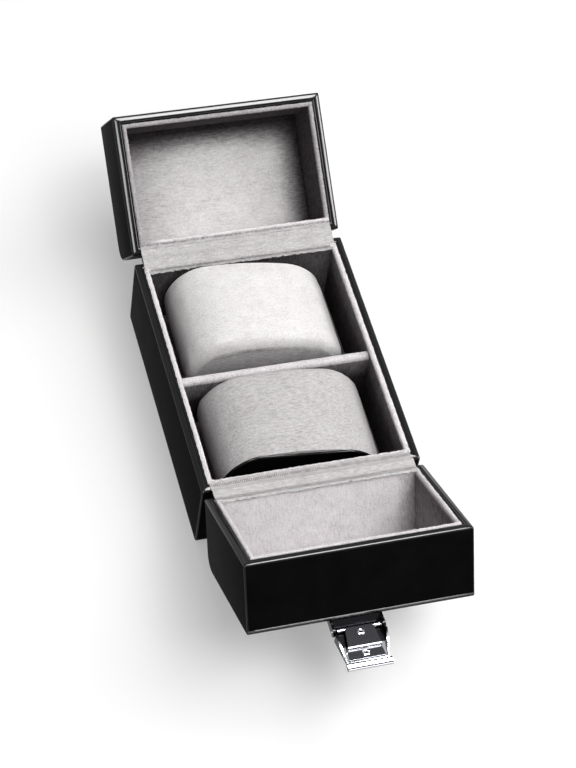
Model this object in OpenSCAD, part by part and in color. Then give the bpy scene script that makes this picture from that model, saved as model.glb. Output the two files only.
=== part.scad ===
// Travel case for two watches: a deep body and two deep lids that open away from each other.
// X runs across the case, Y from the front hinge to the back hinge, and Z up from the ground.
// The origin is the middle of the face that the case stands on.

/* [Case] */
// Width of the case
case_w = 110; // [96:1:130]
// Length of the case, from the front wall to the back wall
case_l = 144; // [136:1:170]
// Height of the body, from the ground to its rim
body_h = 43; // [36:1:56]
// Height of a lid, from its rim to its top
lid_h = 37; // [28:1:46]
// Gap between the closed rims, at the body and where the lids meet
rim_gap = 0.6; // [0.5:0.1:0.9]
// Angle that the back lid stands open
back_open_angle = 144; // [120:1:155]
// Angle that the front lid stands open
front_open_angle = 150; // [120:1:155]

/* [Walls] */
// Thickness of the wall, floor and top boards
board_t = 3.4; // [2.8:0.2:4.4]
// Thickness of the leather wrap
leather_t = 1; // [0.8:0.1:1.2]
// Thickness of the velvet panels on the walls
lining_t = 2.1; // [1.5:0.1:2.6]
// Thickness of the velvet panels on the floor and under the tops
panel_t = 1.5; // [1:0.1:2.4]
// Radius of the upright corners
corner_r = 1.5; // [0.8:0.1:2.4]
// Radius of the bottom edges under the hinges
foot_r = 2; // [1.2:0.2:3]
// Radius of a lid's shoulder over its hinge
shoulder_r = 8; // [4:0.5:9]
// Radius of a lid's top edge where the lids meet
meet_r = 1.5; // [1.2:0.1:2.5]
// How far the leather turns in under the base
turn_under = 7; // [4:0.5:12]

/* [Divider] */
// Thickness of the covered divider
divider_t = 4.5; // [4:0.1:6]
// Thickness of the velvet on the divider
divider_velvet_t = 1.2; // [0.8:0.1:1.5]
// How far the divider stops below the rim
divider_drop = 3; // [1:0.5:8]
// Place of the divider's middle, from the middle of the case
divider_y = -3; // [-4:0.5:0]

/* [Cushions] */
// Width of a cushion
cushion_w = 83; // [66:1:88]
// Height of a cushion
cushion_h = 38; // [30:1:46]
// Length of a cushion, along the case
cushion_l = 53; // [44:1:57]
// Thickness of the velvet sleeve
wrap_t = 1.5; // [1:0.1:2]
// Thickness of the end panels
end_t = 1.2; // [0.8:0.1:1.6]
// Radius of the piping round the leather end
piping_r = 0.8; // [0.5:0.1:1]
// Height of a resting cushion over the floor panel
rest_play = 0.3; // [0.2:0.1:0.5]
// Gap between a cushion and the meeting wall of the closed lid over it
meet_play = 0.4; // [0.3:0.1:1.2]

/* [Hinges] */
// Gap between a hinge's ends and the side walls
hinge_inset = 2.6; // [0.5:0.1:12]
// Thickness of a hinge leaf
leaf_t = 0.6; // [0.5:0.1:0.7]
// Radius of a hinge pin
hinge_pin_r = 0.55; // [0.4:0.05:0.6]
// Running clearance round a pin
pin_play = 0.05; // [0.03:0.01:0.08]
// Gap between neighbouring knuckles
knuckle_play = 0.2; // [0.1:0.1:0.4]
// Gap between the hinge barrel and the outer wall face
barrel_gap = 0.7; // [0.6:0.1:1]
// Thickness of the velvet strip over a hinge
strip_t = 0.4; // [0.3:0.1:0.5]
// Thickness of the leather spine behind a hinge
spine_t = 0.5; // [0.4:0.1:0.6]
// How far the spine reaches over each wall
spine_reach = 9; // [6:0.5:14]

/* [Latch] */
// Place of the latch's middle, from the middle of the case
latch_x = -3; // [-12:0.5:12]
// Width of the latch base
latch_w = 25.5; // [24:0.5:32]
// Length of the base plate
latch_plate_l = 12; // [9:0.5:16]
// Thickness of the latch's sheet metal
sheet_t = 0.8; // [0.6:0.1:1]
// Thickness of an ear of the base
ear_t = 1.2; // [0.9:0.1:1.5]
// Radius of the latch pin
latch_pin_r = 1; // [0.8:0.05:1.1]
// Height of the latch pin over the lid's top
latch_pin_z = 4; // [3.8:0.1:5]
// How far the latch pin stands past the meeting edge
latch_pin_y = 2.6; // [2.4:0.1:3.4]
// Distance from the pin to the rolled end
latch_reach = 19; // [18:0.5:24]
// Radius of the rolled end
roll_r = 1.5; // [1.2:0.1:1.7]
// Width of the tongue at the pin
tongue_w = 14; // [12:0.5:15]
// Thickness of the tongue
tongue_t = 0.7; // [0.5:0.1:0.8]
// Radius of a rivet's shank
rivet_r = 0.8; // [0.6:0.1:1]
// Radius of a rivet's head
rivet_head_r = 1.7; // [1.4:0.1:2]
// Angle that the lever stands open
lever_open_angle = 29; // [0:1:60]
// Width of the catch plate
catch_w = 20; // [16:1:20]
// Length of the catch plate
catch_l = 12; // [11:0.5:16]
// Radius of the catch's bead
bead_r = 1.2; // [1:0.05:1.3]

/* [Hidden] */
$fn = 48;

LIDS = ["back", "front"];
LID_PIECES = ["top_board", "left_board", "right_board", "meet_board", "hinge_board", "leather",
              "wall_lining", "top_lining", "hinge_leaf"];
CUSHION_PIECES = ["foam", "wrap", "velvet_end", "leather_end", "piping"];
HINGE_PIECES = ["body_hinge_leaf", "hinge_pin", "spine", "hinge_lining"];

LEATHER = [0.06, 0.06, 0.06];
VELVET = [0.78, 0.76, 0.76];
BOARD = [0.55, 0.47, 0.36];
STEEL = [0.6, 0.6, 0.62];
CHROME = [0.8, 0.8, 0.82];
FOAM = [0.9, 0.88, 0.8];

SLIVER = 0.01;                          // overlap that makes cuts pass through a face
FAR = 20;                               // reach of a cut that passes right through a small piece
covered_t = leather_t + board_t;        // wall from its outer face to its lining
wall_t = covered_t + lining_t;          // whole wall
room_w = case_w - 2 * wall_t;           // width inside the linings
half_l = case_l / 2;
room_end = half_l - wall_t;             // inner face of a hinge wall
floor_z = leather_t + board_t;          // top of the floor board
cushion_floor_z = floor_z + panel_t;

lid_z = body_h + rim_gap;               // a closed lid's rim
lid_top = lid_z + lid_h;
meet_y = rim_gap / 2;                   // a closed lid's meeting edge

knuckles = 5;
hinge_l = case_w - 2 * (covered_t + hinge_inset);
knuckle_r = rim_gap / 2 + strip_t + leaf_t;
hinge_y = half_l + knuckle_r + barrel_gap;
hinge_z = body_h + rim_gap / 2;
rebate = strip_t + leaf_t;              // the hinge lies this deep in a rim
leaf_setback = 0.2;
cover_play = 0.1;                       // soft covers stay this far off a barrel
side_play = 0.2;                        // and this far from the boards at their sides

rivet_play = 0.02;
rivet_head_h = 0.5;

// ---- shared shapes ----

// Extrudes a shape drawn in Y and Z across the case.
module across(width) {
    rotate([90, 0, 90]) translate([0, 0, -width / 2]) linear_extrude(width) children();
}

module block(low, high) {
    translate(low) cube(high - low);
}

// Cuts a corner to radius r; dir_y and dir_z are +1 or -1 for the way that it points.
module corner_cut(y, z, r, dir_y, dir_z) {
    side = r + SLIVER;
    translate([y - dir_y * r, z - dir_z * r]) difference() {
        translate([dir_y < 0 ? -side : 0, dir_z < 0 ? -side : 0]) square(side);
        circle(r);
    }
}

// Turns a piece over from the back of the case to the front.
module to_front(yes) {
    mirror([0, yes ? 1 : 0, 0]) children();
}

module rounded_plan(low, high, r) {
    difference() {
        translate(low) square(high - low);
        corner_cut(low[0], low[1], r, -1, -1);
        corner_cut(low[0], high[1], r, -1, 1);
        corner_cut(high[0], low[1], r, 1, -1);
        corner_cut(high[0], high[1], r, 1, 1);
    }
}

// A rivet that stands on z = 0 with its domed head above and its shank below.
module rivet(shank_l) {
    dome_r = (pow(rivet_head_r, 2) + pow(rivet_head_h, 2)) / (2 * rivet_head_h);
    intersection() {
        translate([0, 0, rivet_head_h - dome_r]) sphere(dome_r);
        cylinder(h = rivet_head_h, r = rivet_head_r);
    }
    translate([0, 0, -shank_l]) cylinder(h = shank_l + SLIVER, r = rivet_r - rivet_play);
}

// ---- body ----

module body_profile(inset) {
    y = half_l - inset;
    difference() {
        translate([-y, inset]) square([2 * y, body_h - 2 * inset]);
        corner_cut(-y, inset, foot_r - inset, -1, -1);
        corner_cut(y, inset, foot_r - inset, 1, -1);
    }
}

// The rim of a hinge wall, cut down to let the hinge and its strip lie flush.
module rim_rebate(inner_y, deep) {
    for (front = [false, true]) to_front(front)
        block([-case_w / 2 + covered_t, inner_y, body_h - deep],
              [case_w / 2 - covered_t, half_l + SLIVER, body_h + SLIVER]);
}

module base_cover() {
    x = case_w / 2 - turn_under;
    y = half_l - turn_under;
    color(LEATHER) block([-x, -y, 0], [x, y, leather_t]);
}

module base_board() {
    color(BOARD) intersection() {
        across(case_w - 2 * leather_t) body_profile(leather_t);
        block([-case_w, -case_l, 0], [case_w, case_l, floor_z]);
    }
}

module body_side_board(side) {
    x = case_w / 2 - leather_t;
    color(BOARD) translate([side > 0 ? x - board_t : -x, 0, 0])
        block([0, -half_l + leather_t, floor_z], [board_t, half_l - leather_t, body_h - leather_t]);
}

module body_end_board(front) {
    x = case_w / 2 - covered_t;
    color(BOARD) difference() {
        to_front(front)
            block([-x, half_l - covered_t, floor_z], [x, half_l - leather_t, body_h - leather_t]);
        rim_rebate(half_l - covered_t, rebate);
    }
}

module body_leather() {
    x = case_w / 2 - leather_t;
    y = half_l - leather_t;
    rim_x = case_w / 2 - covered_t;
    rim_y = half_l - covered_t;
    color(LEATHER) difference() {
        intersection() {
            across(case_w) body_profile(0);
            linear_extrude(body_h)
                rounded_plan([-case_w / 2, -half_l], [case_w / 2, half_l], corner_r);
        }
        across(2 * x) body_profile(leather_t);
        block([-rim_x, -rim_y, floor_z], [rim_x, rim_y, body_h + SLIVER]);
        rim_rebate(rim_y, rebate);
        block([-case_w / 2 + turn_under, -half_l + turn_under, -SLIVER],
              [case_w / 2 - turn_under, half_l - turn_under, leather_t + SLIVER]);
    }
}

module body_wall_lining() {
    x = case_w / 2 - covered_t;
    y = half_l - covered_t;
    color(VELVET) difference() {
        block([-x, -y, floor_z], [x, y, body_h]);
        block([-room_w / 2, -room_end, floor_z - SLIVER], [room_w / 2, room_end, body_h + SLIVER]);
        rim_rebate(room_end - SLIVER, strip_t);
    }
}

module body_floor_lining() {
    color(VELVET) block([-room_w / 2, -room_end, floor_z], [room_w / 2, room_end, cushion_floor_z]);
}

divider_top = body_h - divider_drop;

module divider_board() {
    y = divider_t / 2 - divider_velvet_t;
    color(BOARD) block([-room_w / 2, divider_y - y, cushion_floor_z],
                       [room_w / 2, divider_y + y, divider_top - divider_velvet_t]);
}

module divider_velvet() {
    y = divider_t / 2;
    color(VELVET) difference() {
        block([-room_w / 2, divider_y - y, cushion_floor_z], [room_w / 2, divider_y + y, divider_top]);
        block([-case_w, divider_y - y + divider_velvet_t, 0],
              [case_w, divider_y + y - divider_velvet_t, divider_top - divider_velvet_t]);
    }
}

// ---- lids, drawn as a closed back lid ----

function lid_angle(lid) = lid == "back" ? back_open_angle : front_open_angle;

// Swings a closed back lid's piece open, and mirrors it for the front lid.
module place_lid(lid) {
    to_front(lid == "front")
        translate([0, hinge_y, hinge_z]) rotate([-lid_angle(lid), 0, 0])
            translate([0, -hinge_y, -hinge_z]) children();
}

module lid_profile(inset) {
    low = [meet_y + inset, lid_z + inset];
    high = [half_l - inset, lid_top - inset];
    difference() {
        translate(low) square(high - low);
        corner_cut(high[0], high[1], shoulder_r - inset, 1, 1);
        corner_cut(low[0], high[1], meet_r - inset, -1, 1);
    }
}

lid_room_top = lid_top - covered_t;

module lid_rim_rebate(inner_y, deep) {
    block([-case_w / 2 + covered_t, inner_y, lid_z - SLIVER],
          [case_w / 2 - covered_t, half_l + SLIVER, lid_z + deep]);
}

// Holes for the rivets of the latch base and of the catch plate.
module lid_rivet_holes(lid) {
    for (at = lid == "back" ? catch_rivet_places : base_rivet_places)
        translate([latch_x + at[0], abs(at[1]), lid_top - covered_t - SLIVER])
            cylinder(h = covered_t + 2 * SLIVER, r = rivet_r);
}

module lid_top_board(lid) {
    x = case_w / 2 - covered_t;
    color(BOARD) difference() {
        intersection() {
            across(2 * x) lid_profile(leather_t);
            block([-case_w, meet_y + covered_t, lid_room_top], [case_w, half_l - covered_t, lid_top]);
        }
        lid_rivet_holes(lid);
    }
}

module lid_side_board(side) {
    x = case_w / 2 - leather_t - board_t / 2;
    color(BOARD) translate([side * x, 0, 0]) across(board_t) lid_profile(leather_t);
}

module lid_meet_board() {
    x = case_w / 2 - covered_t;
    color(BOARD) intersection() {
        across(2 * x) lid_profile(leather_t);
        block([-case_w, 0, 0], [case_w, meet_y + covered_t, lid_top]);
    }
}

module lid_hinge_board() {
    x = case_w / 2 - covered_t;
    color(BOARD) difference() {
        intersection() {
            across(2 * x) lid_profile(leather_t);
            block([-case_w, half_l - covered_t, 0], [case_w, half_l, lid_top]);
        }
        lid_rim_rebate(half_l - covered_t, rebate);
    }
}

module lid_leather(lid) {
    rim_x = case_w / 2 - covered_t;
    color(LEATHER) difference() {
        intersection() {
            across(case_w) lid_profile(0);
            translate([0, 0, lid_z]) linear_extrude(lid_h)
                rounded_plan([-case_w / 2, meet_y], [case_w / 2, half_l], corner_r);
        }
        across(case_w - 2 * leather_t) lid_profile(leather_t);
        block([-rim_x, meet_y + covered_t, lid_z - SLIVER],
              [rim_x, half_l - covered_t, lid_room_top]);
        lid_rim_rebate(half_l - covered_t - SLIVER, rebate);
        lid_rivet_holes(lid);
    }
}

module lid_wall_lining() {
    x = case_w / 2 - covered_t;
    color(VELVET) difference() {
        block([-x, meet_y + covered_t, lid_z], [x, half_l - covered_t, lid_room_top]);
        block([-room_w / 2, meet_y + wall_t, lid_z - SLIVER],
              [room_w / 2, room_end, lid_room_top + SLIVER]);
        lid_rim_rebate(room_end - SLIVER, strip_t);
    }
}

module lid_top_lining() {
    color(VELVET) block([-room_w / 2, meet_y + wall_t, lid_room_top - panel_t],
                        [room_w / 2, room_end, lid_room_top]);
}

// ---- hinges, drawn for the back of the closed case ----

// A leaf in the lower rim that carries the knuckles first, first + 2 and so on.
module hinge_leaf(first) {
    pitch = hinge_l / knuckles;
    z = hinge_z - knuckle_r;
    color(STEEL) difference() {
        union() {
            block([-hinge_l / 2, half_l - covered_t + leaf_setback, z],
                  [hinge_l / 2, half_l + barrel_gap - knuckle_play, z + leaf_t]);
            for (k = [first:2:knuckles - 1]) {
                x = -hinge_l / 2 + k * pitch + knuckle_play / 2;
                block([x, half_l, z], [x + pitch - knuckle_play, hinge_y, z + leaf_t]);
                translate([x, hinge_y, hinge_z]) rotate([0, 90, 0])
                    cylinder(h = pitch - knuckle_play, r = knuckle_r);
            }
        }
        translate([-hinge_l / 2 - 1, hinge_y, hinge_z]) rotate([0, 90, 0])
            cylinder(h = hinge_l + 2, r = hinge_pin_r + pin_play);
    }
}

// Turns a piece in the lower rim upside down about the hinge, into the lid's rim.
module over_hinge() {
    translate([0, 0, hinge_z]) mirror([0, 0, 1]) translate([0, 0, -hinge_z]) children();
}

module lid_hinge_leaf() {
    over_hinge() hinge_leaf(1);
}

module hinge_pin() {
    color(STEEL) translate([-hinge_l / 2, hinge_y, hinge_z]) rotate([0, 90, 0])
        cylinder(h = hinge_l, r = hinge_pin_r);
}

cover_r = knuckle_r + cover_play;       // inside of the soft covers round a barrel
to_wall = knuckle_r + barrel_gap;       // from the hinge to the outer wall face

// Points along an arc round the hinge, in Y and Z about it.
function arc_points(r, from, to) =
    let (steps = ceil(abs(to - from) / 6))
    [for (i = [0:steps]) let (a = from + (to - from) * i / steps) r * [cos(a), sin(a)]];

// A direction and a point on the body, carried over to where the open lid has its own.
function lid_side(lid, direction) = 360 - direction - lid_angle(lid);
function on_lid(lid, p) =
    let (a = -lid_angle(lid)) [p[0] * cos(a) + p[1] * sin(a), p[0] * sin(a) - p[1] * cos(a)];

// A soft cover at rest, whose section is a list of points in Y and Z about the hinge.
module soft_cover(lid, section) {
    to_front(lid == "front") translate([0, hinge_y, hinge_z])
        across(case_w - 2 * (covered_t + side_play)) polygon(section);
}

// The leather spine: up the wall, under the leaf and the barrel, and down the open lid.
module spine(lid) {
    low = -cover_r - spine_reach;
    wall_side = [[-to_wall, low], [-to_wall, -cover_r]];
    bare_side = [[spine_t - to_wall, -cover_r - spine_t], [spine_t - to_wall, low]];
    under = 270;
    over = lid_side(lid, under - 360);
    color(LEATHER) soft_cover(lid, concat(
        wall_side, arc_points(cover_r, under, over),
        [for (i = [1, 0]) on_lid(lid, wall_side[i])], [for (i = [1, 0]) on_lid(lid, bare_side[i])],
        arc_points(cover_r + spine_t, over, under), bare_side));
}

// The velvet strip: flat on both rims, with a hump over the barrel.
module hinge_lining(lid) {
    top_z = -rim_gap / 2;
    far_end = [[-to_wall - wall_t, top_z - strip_t], [-to_wall - wall_t, top_z]];
    top_from = 180 - asin(top_z / (cover_r + strip_t));
    under_from = 180 - asin((top_z - strip_t) / cover_r);
    color(VELVET) soft_cover(lid, concat(
        far_end, arc_points(cover_r + strip_t, top_from, lid_side(lid, top_from)),
        [for (i = [1, 0]) on_lid(lid, far_end[i])],
        arc_points(cover_r, lid_side(lid, under_from), under_from)));
}

// ---- cushions, drawn about their own middle, with the leather end at -Y ----

module oval(inset) {
    r = cushion_h / 2 - inset;
    flat = cushion_w - cushion_h;
    translate([-flat / 2, -r]) square([flat, 2 * r]);
    for (s = [-1, 1]) translate([s * flat / 2, 0]) circle(r);
}

// Extrudes a shape drawn in X and Z from one Y to another.
module along(from, to) {
    translate([0, to, 0]) rotate([90, 0, 0]) linear_extrude(to - from) children();
}

sleeve_from = -cushion_l / 2 + 2 * piping_r;
sleeve_to = cushion_l / 2;

module cushion_wrap() {
    color(VELVET) along(sleeve_from, sleeve_to) difference() {
        oval(0);
        oval(wrap_t);
    }
}

module cushion_foam() {
    color(FOAM) along(sleeve_from + end_t, sleeve_to - end_t) oval(wrap_t);
}

module cushion_velvet_end() {
    color(VELVET) along(sleeve_to - end_t, sleeve_to) oval(wrap_t);
}

module cushion_leather_end() {
    color(LEATHER) along(sleeve_from, sleeve_from + end_t) oval(wrap_t);
}

module cushion_piping() {
    r = cushion_h / 2 - piping_r;
    flat = cushion_w - cushion_h;
    color(LEATHER) translate([0, sleeve_from - piping_r, 0]) {
        for (s = [-1, 1]) {
            translate([-flat / 2, 0, s * r]) rotate([0, 90, 0]) cylinder(h = flat, r = piping_r);
            translate([s * flat / 2, 0, 0]) rotate([90, 0, 0]) intersection() {
                rotate_extrude() translate([r, 0]) circle(piping_r);
                translate([s > 0 ? 0 : -2 * r, -2 * r, -r]) cube([2 * r, 4 * r, 2 * r]);
            }
        }
    }
}

module place_cushion(lid) {
    middle_y = meet_y + wall_t + meet_play + cushion_l / 2;
    middle_z = cushion_floor_z + rest_play + cushion_h / 2;
    to_front(lid == "front") translate([0, middle_y, middle_z]) to_front(true) children();
}

// ---- latch, drawn on the closed case, with the origin over the meeting edges at the lids' tops ----

plate_end = -meet_y - sheet_t;          // the base plate stops this far before the meeting edge
base_rivet_inset = 5;                   // from the sides and the free end of the base plate
base_rivet_places = [for (s = [-1, 1])
    [s * (latch_w / 2 - base_rivet_inset), plate_end - latch_plate_l + base_rivet_inset]];

ear_wall = 1.3;
ear_r = latch_pin_r + ear_wall;
eye_wall = 0.8;
eye_r = latch_pin_r + eye_wall;         // the lever's eyes round the pin
ear_play = 0.2;

module on_lids() {
    translate([latch_x, 0, lid_top]) children();
}

module at_latch_pin() {
    translate([0, latch_pin_y, latch_pin_z]) children();
}

module ear() {
    at_pin = [latch_pin_y, latch_pin_z];
    difference() {
        union() {
            translate(at_pin) circle(ear_r);
            polygon([[plate_end - latch_plate_l / 2, 0], [plate_end, 0],
                     at_pin + ear_r * [cos(-60), sin(-60)], at_pin + ear_r * [cos(120), sin(120)],
                     [plate_end - latch_plate_l / 2, sheet_t]]);
        }
        translate(at_pin) circle(latch_pin_r + pin_play);
    }
}

module latch_base() {
    color(CHROME) on_lids() difference() {
        union() {
            block([-latch_w / 2, plate_end - latch_plate_l, 0], [latch_w / 2, plate_end, sheet_t]);
            block([-latch_w / 2, plate_end - sheet_t, 0],
                  [latch_w / 2, plate_end, latch_pin_z - latch_pin_r / 2]);
            for (s = [-1, 1]) translate([s * (latch_w - ear_t) / 2, 0, 0]) across(ear_t) ear();
        }
        for (at = base_rivet_places)
            translate([at[0], at[1], -SLIVER]) cylinder(h = sheet_t + 2 * SLIVER, r = rivet_r);
    }
}

module latch_base_rivets() {
    color(CHROME) on_lids() for (at = base_rivet_places)
        translate([at[0], at[1], sheet_t]) rivet(sheet_t + covered_t);
}

module latch_pin() {
    head_h = 0.3;
    color(CHROME) on_lids() at_latch_pin()
        across(latch_w + 2 * head_h) circle(latch_pin_r);
}

// The lever, about the latch pin, lying closed along +Y
shell_top = eye_r;
shell_under = shell_top - sheet_t;
eye_half_w = latch_w / 2 - ear_t - ear_play;
flare_half_w = latch_w / 2 - ear_play;
lever_taper = 2.4;                      // how much narrower each side is at the rolled end
end_half_w = flare_half_w - lever_taper;
flare_from = ear_r + 0.3;               // past the ears, the sides step out over this length
flare_l = 1.2;
flange_drop = 1.2;                      // the sides hang this far below the eyes at their deepest
flange_end_drop = 0.3;
roll_z = shell_top - roll_r;
roll_half_w = end_half_w + 0.6;
roll_gap = 0.6;                         // from the hollow underside to the rolled end

// Outline of the lever from above, with its sides moved in by inset.
module lever_plan(inset) {
    tail = -eye_r - SLIVER;
    half = [[eye_half_w, tail], [eye_half_w, flare_from], [flare_half_w, flare_from + flare_l],
            [end_half_w, latch_reach]];
    polygon(concat([for (p = half) [p[0] - inset, p[1]]],
                   [for (i = [len(half) - 1:-1:0]) [inset - half[i][0], half[i][1]]]));
}

// Side view of the lever with its flanges, which get shallower towards the rolled end.
module lever_side() {
    circle(eye_r);
    polygon([[0, eye_r], [0, -eye_r], [flare_from + flare_l, -eye_r - flange_drop],
             [step_y + flare_l, low_z], [latch_reach - roll_r, shell_under - flange_end_drop],
             [latch_reach, shell_under], [latch_reach, shell_top]]);
}

module lever_body() {
    intersection() {
        across(latch_w) lever_side();
        translate([0, 0, -FAR / 2]) linear_extrude(FAR) lever_plan(0);
    }
}

module place_lever() {
    on_lids() at_latch_pin() rotate([lever_open_angle, 0, 0]) children();
}

module latch_lever() {
    color(CHROME) place_lever() difference() {
        union() {
            lever_body();
            translate([0, latch_reach, roll_z]) across(2 * roll_half_w) circle(roll_r);
        }
        intersection() {
            translate([0, 0, shell_under - FAR]) linear_extrude(FAR) lever_plan(sheet_t);
            block([-FAR, -FAR, -FAR], [FAR, latch_reach - roll_r - roll_gap, FAR]);
        }
        block([-eye_half_w + sheet_t, -FAR, -FAR], [eye_half_w - sheet_t, -latch_pin_r, FAR]);
        across(2 * latch_w) circle(latch_pin_r + pin_play);
        for (y = lever_rivet_places)
            translate([0, y, 0]) cylinder(h = FAR, r = rivet_r);
    }
}

// The tongue runs under the pin, then steps up and lies against the shell.
step_y = latch_reach / 2;
step_l = 0.8;
tongue_end = latch_reach - roll_r - 1.5;
tongue_play = 0.2;                      // between the tongue and the pin
tongue_tip = 1;                         // its corners are cut off by this much
tongue_flare = 1.8;                     // how much wider each side is at the far end
lever_rivet_places = [latch_pin_r + rivet_head_r + 0.3, (step_y + step_l + tongue_end) / 2];
low_z = -latch_pin_r - tongue_play - tongue_t;      // underside of the low part
high_z = shell_under - tongue_t;                    // underside of the high part

module latch_tongue() {
    start = -tongue_play;
    half_w = tongue_w / 2;
    color(CHROME) place_lever() difference() {
        intersection() {
            across(latch_w) polygon([
                [start, low_z], [step_y + tongue_t, low_z], [step_y + step_l + tongue_t, high_z],
                [tongue_end, high_z], [tongue_end, high_z + tongue_t],
                [step_y + step_l, high_z + tongue_t], [step_y, low_z + tongue_t],
                [start, low_z + tongue_t]]);
            translate([0, 0, -FAR / 2]) linear_extrude(FAR) polygon([
                [-half_w + tongue_tip, start], [-half_w, start + tongue_tip],
                [-half_w - tongue_flare, tongue_end], [half_w + tongue_flare, tongue_end],
                [half_w, start + tongue_tip], [half_w - tongue_tip, start]]);
        }
        for (y = lever_rivet_places)
            translate([0, y, -FAR / 2]) cylinder(h = FAR, r = rivet_r);
    }
}

module lever_rivets() {
    under = [low_z, high_z];
    color(CHROME) place_lever() for (i = [0, 1])
        translate([0, lever_rivet_places[i], under[i]]) mirror([0, 0, 1])
            rivet(shell_top - under[i]);
}

// The catch on the back lid: a plate with a raised bead that the rolled end drops behind.
bead_sink = 0.4;                        // the bead's middle lies this far below the rolled end
bead_z = shell_top + latch_pin_z - 2 * roll_r - bead_sink;
bead_drop = latch_pin_z - bead_z;
hook_play = 0.13;
bead_reach = sqrt(pow(latch_reach, 2) + pow(roll_z, 2)) - roll_r - bead_r - hook_play;
bead_y = latch_pin_y + sqrt(pow(bead_reach, 2) - pow(bead_drop, 2));
catch_rivet_inset = 2.5;                // from the sides and one end of the catch plate
catch_rivet_places = [for (s = [-1, 1])
    [s * (catch_w / 2 - catch_rivet_inset), bead_y - catch_l / 2 + catch_rivet_inset]];

module catch_plate() {
    stem_t = 1.2;
    bead_half_w = catch_w / 2 - 2;
    color(CHROME) on_lids() difference() {
        union() {
            block([-catch_w / 2, bead_y - catch_l / 2, 0], [catch_w / 2, bead_y + catch_l / 2, sheet_t]);
            block([-bead_half_w, bead_y - stem_t / 2, 0], [bead_half_w, bead_y + stem_t / 2, bead_z]);
            translate([0, bead_y, bead_z]) across(2 * bead_half_w) circle(bead_r);
        }
        for (at = catch_rivet_places)
            translate([at[0], at[1], -SLIVER]) cylinder(h = sheet_t + 2 * SLIVER, r = rivet_r);
    }
}

module catch_rivets() {
    color(CHROME) on_lids() for (at = catch_rivet_places)
        translate([at[0], at[1], sheet_t]) rivet(sheet_t + covered_t);
}

// The latch is drawn for the front lid, so it is turned over before place_lid mirrors it.
module place_latch() {
    place_lid("front") mirror([0, 1, 0]) children();
}

// ---- the nodes ----

base_cover();
base_board();
body_side_board(-1);  // body_left_board
body_side_board(1);  // body_right_board
body_end_board(false);  // body_back_board
body_end_board(true);  // body_front_board
body_leather();
body_wall_lining();
body_floor_lining();
divider_board();
divider_velvet();

for (lid = LIDS) {
    place_lid(lid) lid_top_board(lid);
    place_lid(lid) lid_side_board(-1);
    place_lid(lid) lid_side_board(1);
    place_lid(lid) lid_meet_board();
    place_lid(lid) lid_hinge_board();
    place_lid(lid) lid_leather(lid);
    place_lid(lid) lid_wall_lining();
    place_lid(lid) lid_top_lining();
    place_lid(lid) lid_hinge_leaf();

    front = lid == "front";
    to_front(front) hinge_leaf(0);
    to_front(front) hinge_pin();
    spine(lid);
    hinge_lining(lid);

    place_cushion(lid) cushion_foam();
    place_cushion(lid) cushion_wrap();
    place_cushion(lid) cushion_velvet_end();
    place_cushion(lid) cushion_leather_end();
    place_cushion(lid) cushion_piping();
}

place_lid("back") catch_plate();
place_lid("back") catch_rivets();
place_latch() latch_base();
place_latch() latch_base_rivets();
place_latch() latch_pin();
place_latch() latch_lever();
place_latch() latch_tongue();
place_latch() lever_rivets();
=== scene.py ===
# %% [markdown]
# Watch travel case: a deep body, two lids that open away from each other, two cushions and a
# latch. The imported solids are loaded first, as a fixed frame. Every piece that is modelled here
# is laid over that frame in the same coordinates, so nothing has to be fitted afterwards.

# %% Load the frame
import math

import bmesh
import bpy
from mathutils import Matrix, Vector, noise


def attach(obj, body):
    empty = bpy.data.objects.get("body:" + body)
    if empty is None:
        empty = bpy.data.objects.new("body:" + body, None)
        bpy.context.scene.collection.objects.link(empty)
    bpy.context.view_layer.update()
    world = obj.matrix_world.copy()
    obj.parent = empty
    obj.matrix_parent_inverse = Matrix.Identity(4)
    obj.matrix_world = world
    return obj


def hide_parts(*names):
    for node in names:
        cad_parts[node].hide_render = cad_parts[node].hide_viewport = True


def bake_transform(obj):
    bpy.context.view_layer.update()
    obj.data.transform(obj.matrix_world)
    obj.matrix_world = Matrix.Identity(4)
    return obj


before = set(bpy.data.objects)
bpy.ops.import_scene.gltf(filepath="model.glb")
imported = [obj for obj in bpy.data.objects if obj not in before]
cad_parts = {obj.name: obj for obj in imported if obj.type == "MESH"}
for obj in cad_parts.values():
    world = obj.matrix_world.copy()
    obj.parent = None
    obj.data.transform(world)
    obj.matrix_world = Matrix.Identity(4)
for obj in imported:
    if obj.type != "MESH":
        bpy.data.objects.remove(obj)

noise.seed_set(1)       # without a seed, the noise would differ from run to run
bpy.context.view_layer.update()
bpy.ops.object.select_all(action="DESELECT")

# %% [markdown]
# The camera comes first. It looks down on the case from the front left with a long lens, so that
# upright edges lean only a little.

# %% Camera
MM = 0.001
X, Y, Z = 0, 1, 2

bpy.ops.object.camera_add(location=[v * MM for v in (-288.52, -700.93, 1001.72)],
                          rotation=[math.radians(v) for v in (37.367, -6.122, -15.094)])
camera = bpy.context.object
camera.name = "case_camera"
camera.data.lens = 115.04
camera.data.sensor_width = 36
camera.data.clip_end = 20
bpy.context.scene.camera = camera
print("camera lens:", camera.data.lens)

# %% [markdown]
# Materials are node trees. Colours are written as the hex values that a painter would pick from
# a screen, and one function turns them into the linear light that the renderer works in. A second
# function adds a node with its settings and links, which keeps each material readable.

# %% Colour and node helpers
def linear(code):
    """Turns an sRGB hex colour into linear RGBA."""
    parts = [int(code[i:i + 2], 16) / 255 for i in (1, 3, 5)]
    return [c / 12.92 if c <= 0.04045 else ((c + 0.055) / 1.055) ** 2.4 for c in parts] + [1]


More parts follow.
